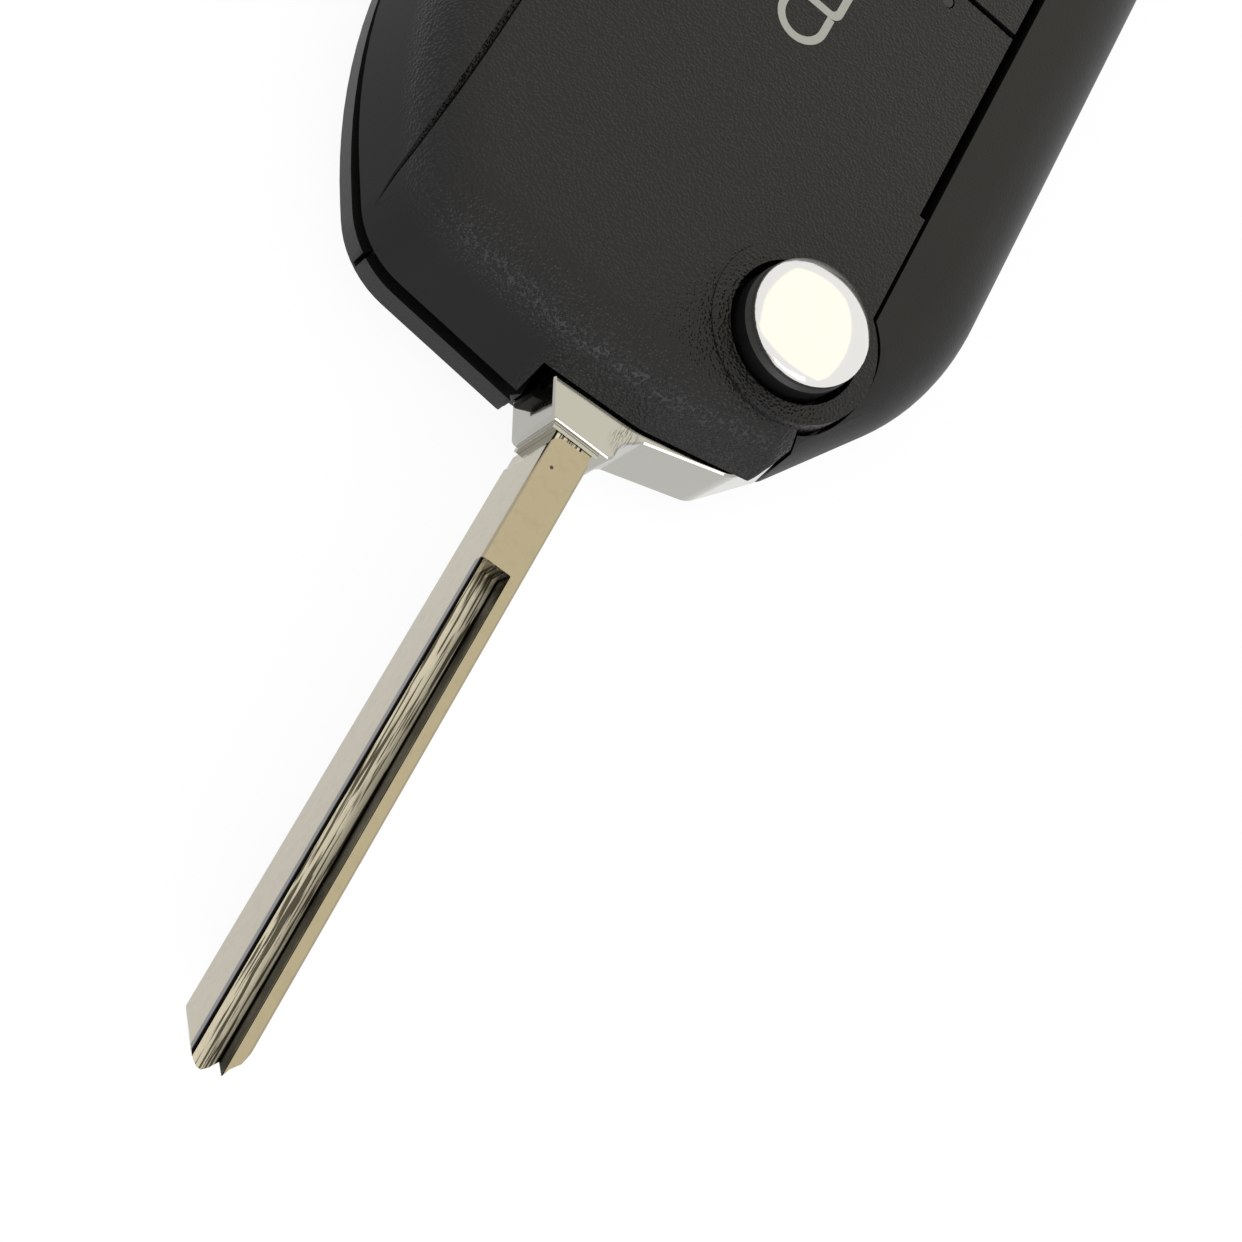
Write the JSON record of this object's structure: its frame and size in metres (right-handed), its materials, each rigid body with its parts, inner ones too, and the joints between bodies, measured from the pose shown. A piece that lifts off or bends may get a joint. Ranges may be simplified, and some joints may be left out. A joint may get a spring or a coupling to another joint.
{
  "type": "flip key remote shell",
  "caption": "Car remote key shell: a grooved blade on a sprung head swings out of the side, with a round release button, press keys and a cross pin for a key ring.",
  "frame": {"origin": "on the flat back face, where the blade's axis of rotation meets it", "axes": "+Z out of the button face along the blade's axis of rotation, +Y towards the key ring end, the open blade points to -Y"},
  "size_m": [0.0469, 0.1253, 0.0174],
  "materials": {
    "side_plastic": "fine satin",
    "face_plastic": "leather grain",
    "lens_plastic": "polished dark red",
    "keypad_rubber": "matt",
    "inner_plastic": "matt black",
    "spring_steel": "bright wire",
    "chrome_plating": "polished",
    "blade_steel": "worn nickel plate",
    "pin_steel": "turned",
    "screw_steel": "black oxide"
  },
  "bodies": {
    "case": {"rear_case": "side_plastic", "front_case": "face_plastic", "keypad_membrane": "keypad_rubber", "board_carrier": "inner_plastic", "battery_clip": "spring_steel", "pivot_axle": "pin_steel", "pivot_washer": "pin_steel", "key_ring_pin": "pin_steel", "case_screws": "screw_steel"},
    "head": {"blade_head": "chrome_plating", "key_blade": "blade_steel", "blade_pin": "pin_steel", "flip_spring": "spring_steel"},
    "release": {"release_cap": "chrome_plating", "release_plunger": "inner_plastic"},
    "lock_key": {"lock_flap": "face_plastic", "indicator_lens": "lens_plastic"},
    "unlock_key": {"unlock_key": "face_plastic"},
    "boot_key": {"boot_key": "face_plastic"}
  },
  "joints": [
    {"name": "blade_flip", "type": "hinge", "parent": "case", "child": "head", "pos_m": [0, 0, 0], "axis": [0, 0, 1], "range_deg": [0, 180], "stiffness_Nm_per_rad": 0.004},
    {"name": "release_press", "type": "slide", "parent": "head", "child": "release", "axis": [0, 0, -1], "range_m": [0, 0.0023], "stiffness_N_per_m": 1500, "deforming": ["flip_spring"]},
    {"name": "lock_press", "type": "hinge", "parent": "case", "child": "lock_key", "pos_m": [-0.0113, 0.014, 0.0122], "axis": [-1, 0, 0], "range_deg": [0, 2.6], "stiffness_Nm_per_rad": 0.4},
    {"name": "unlock_press", "type": "slide", "parent": "case", "child": "unlock_key", "axis": [0, 0, -1], "range_m": [0, 0.0006], "stiffness_N_per_m": 3000},
    {"name": "boot_press", "type": "slide", "parent": "case", "child": "boot_key", "axis": [0, 0, -1], "range_m": [0, 0.0006], "stiffness_N_per_m": 3000}
  ]
}
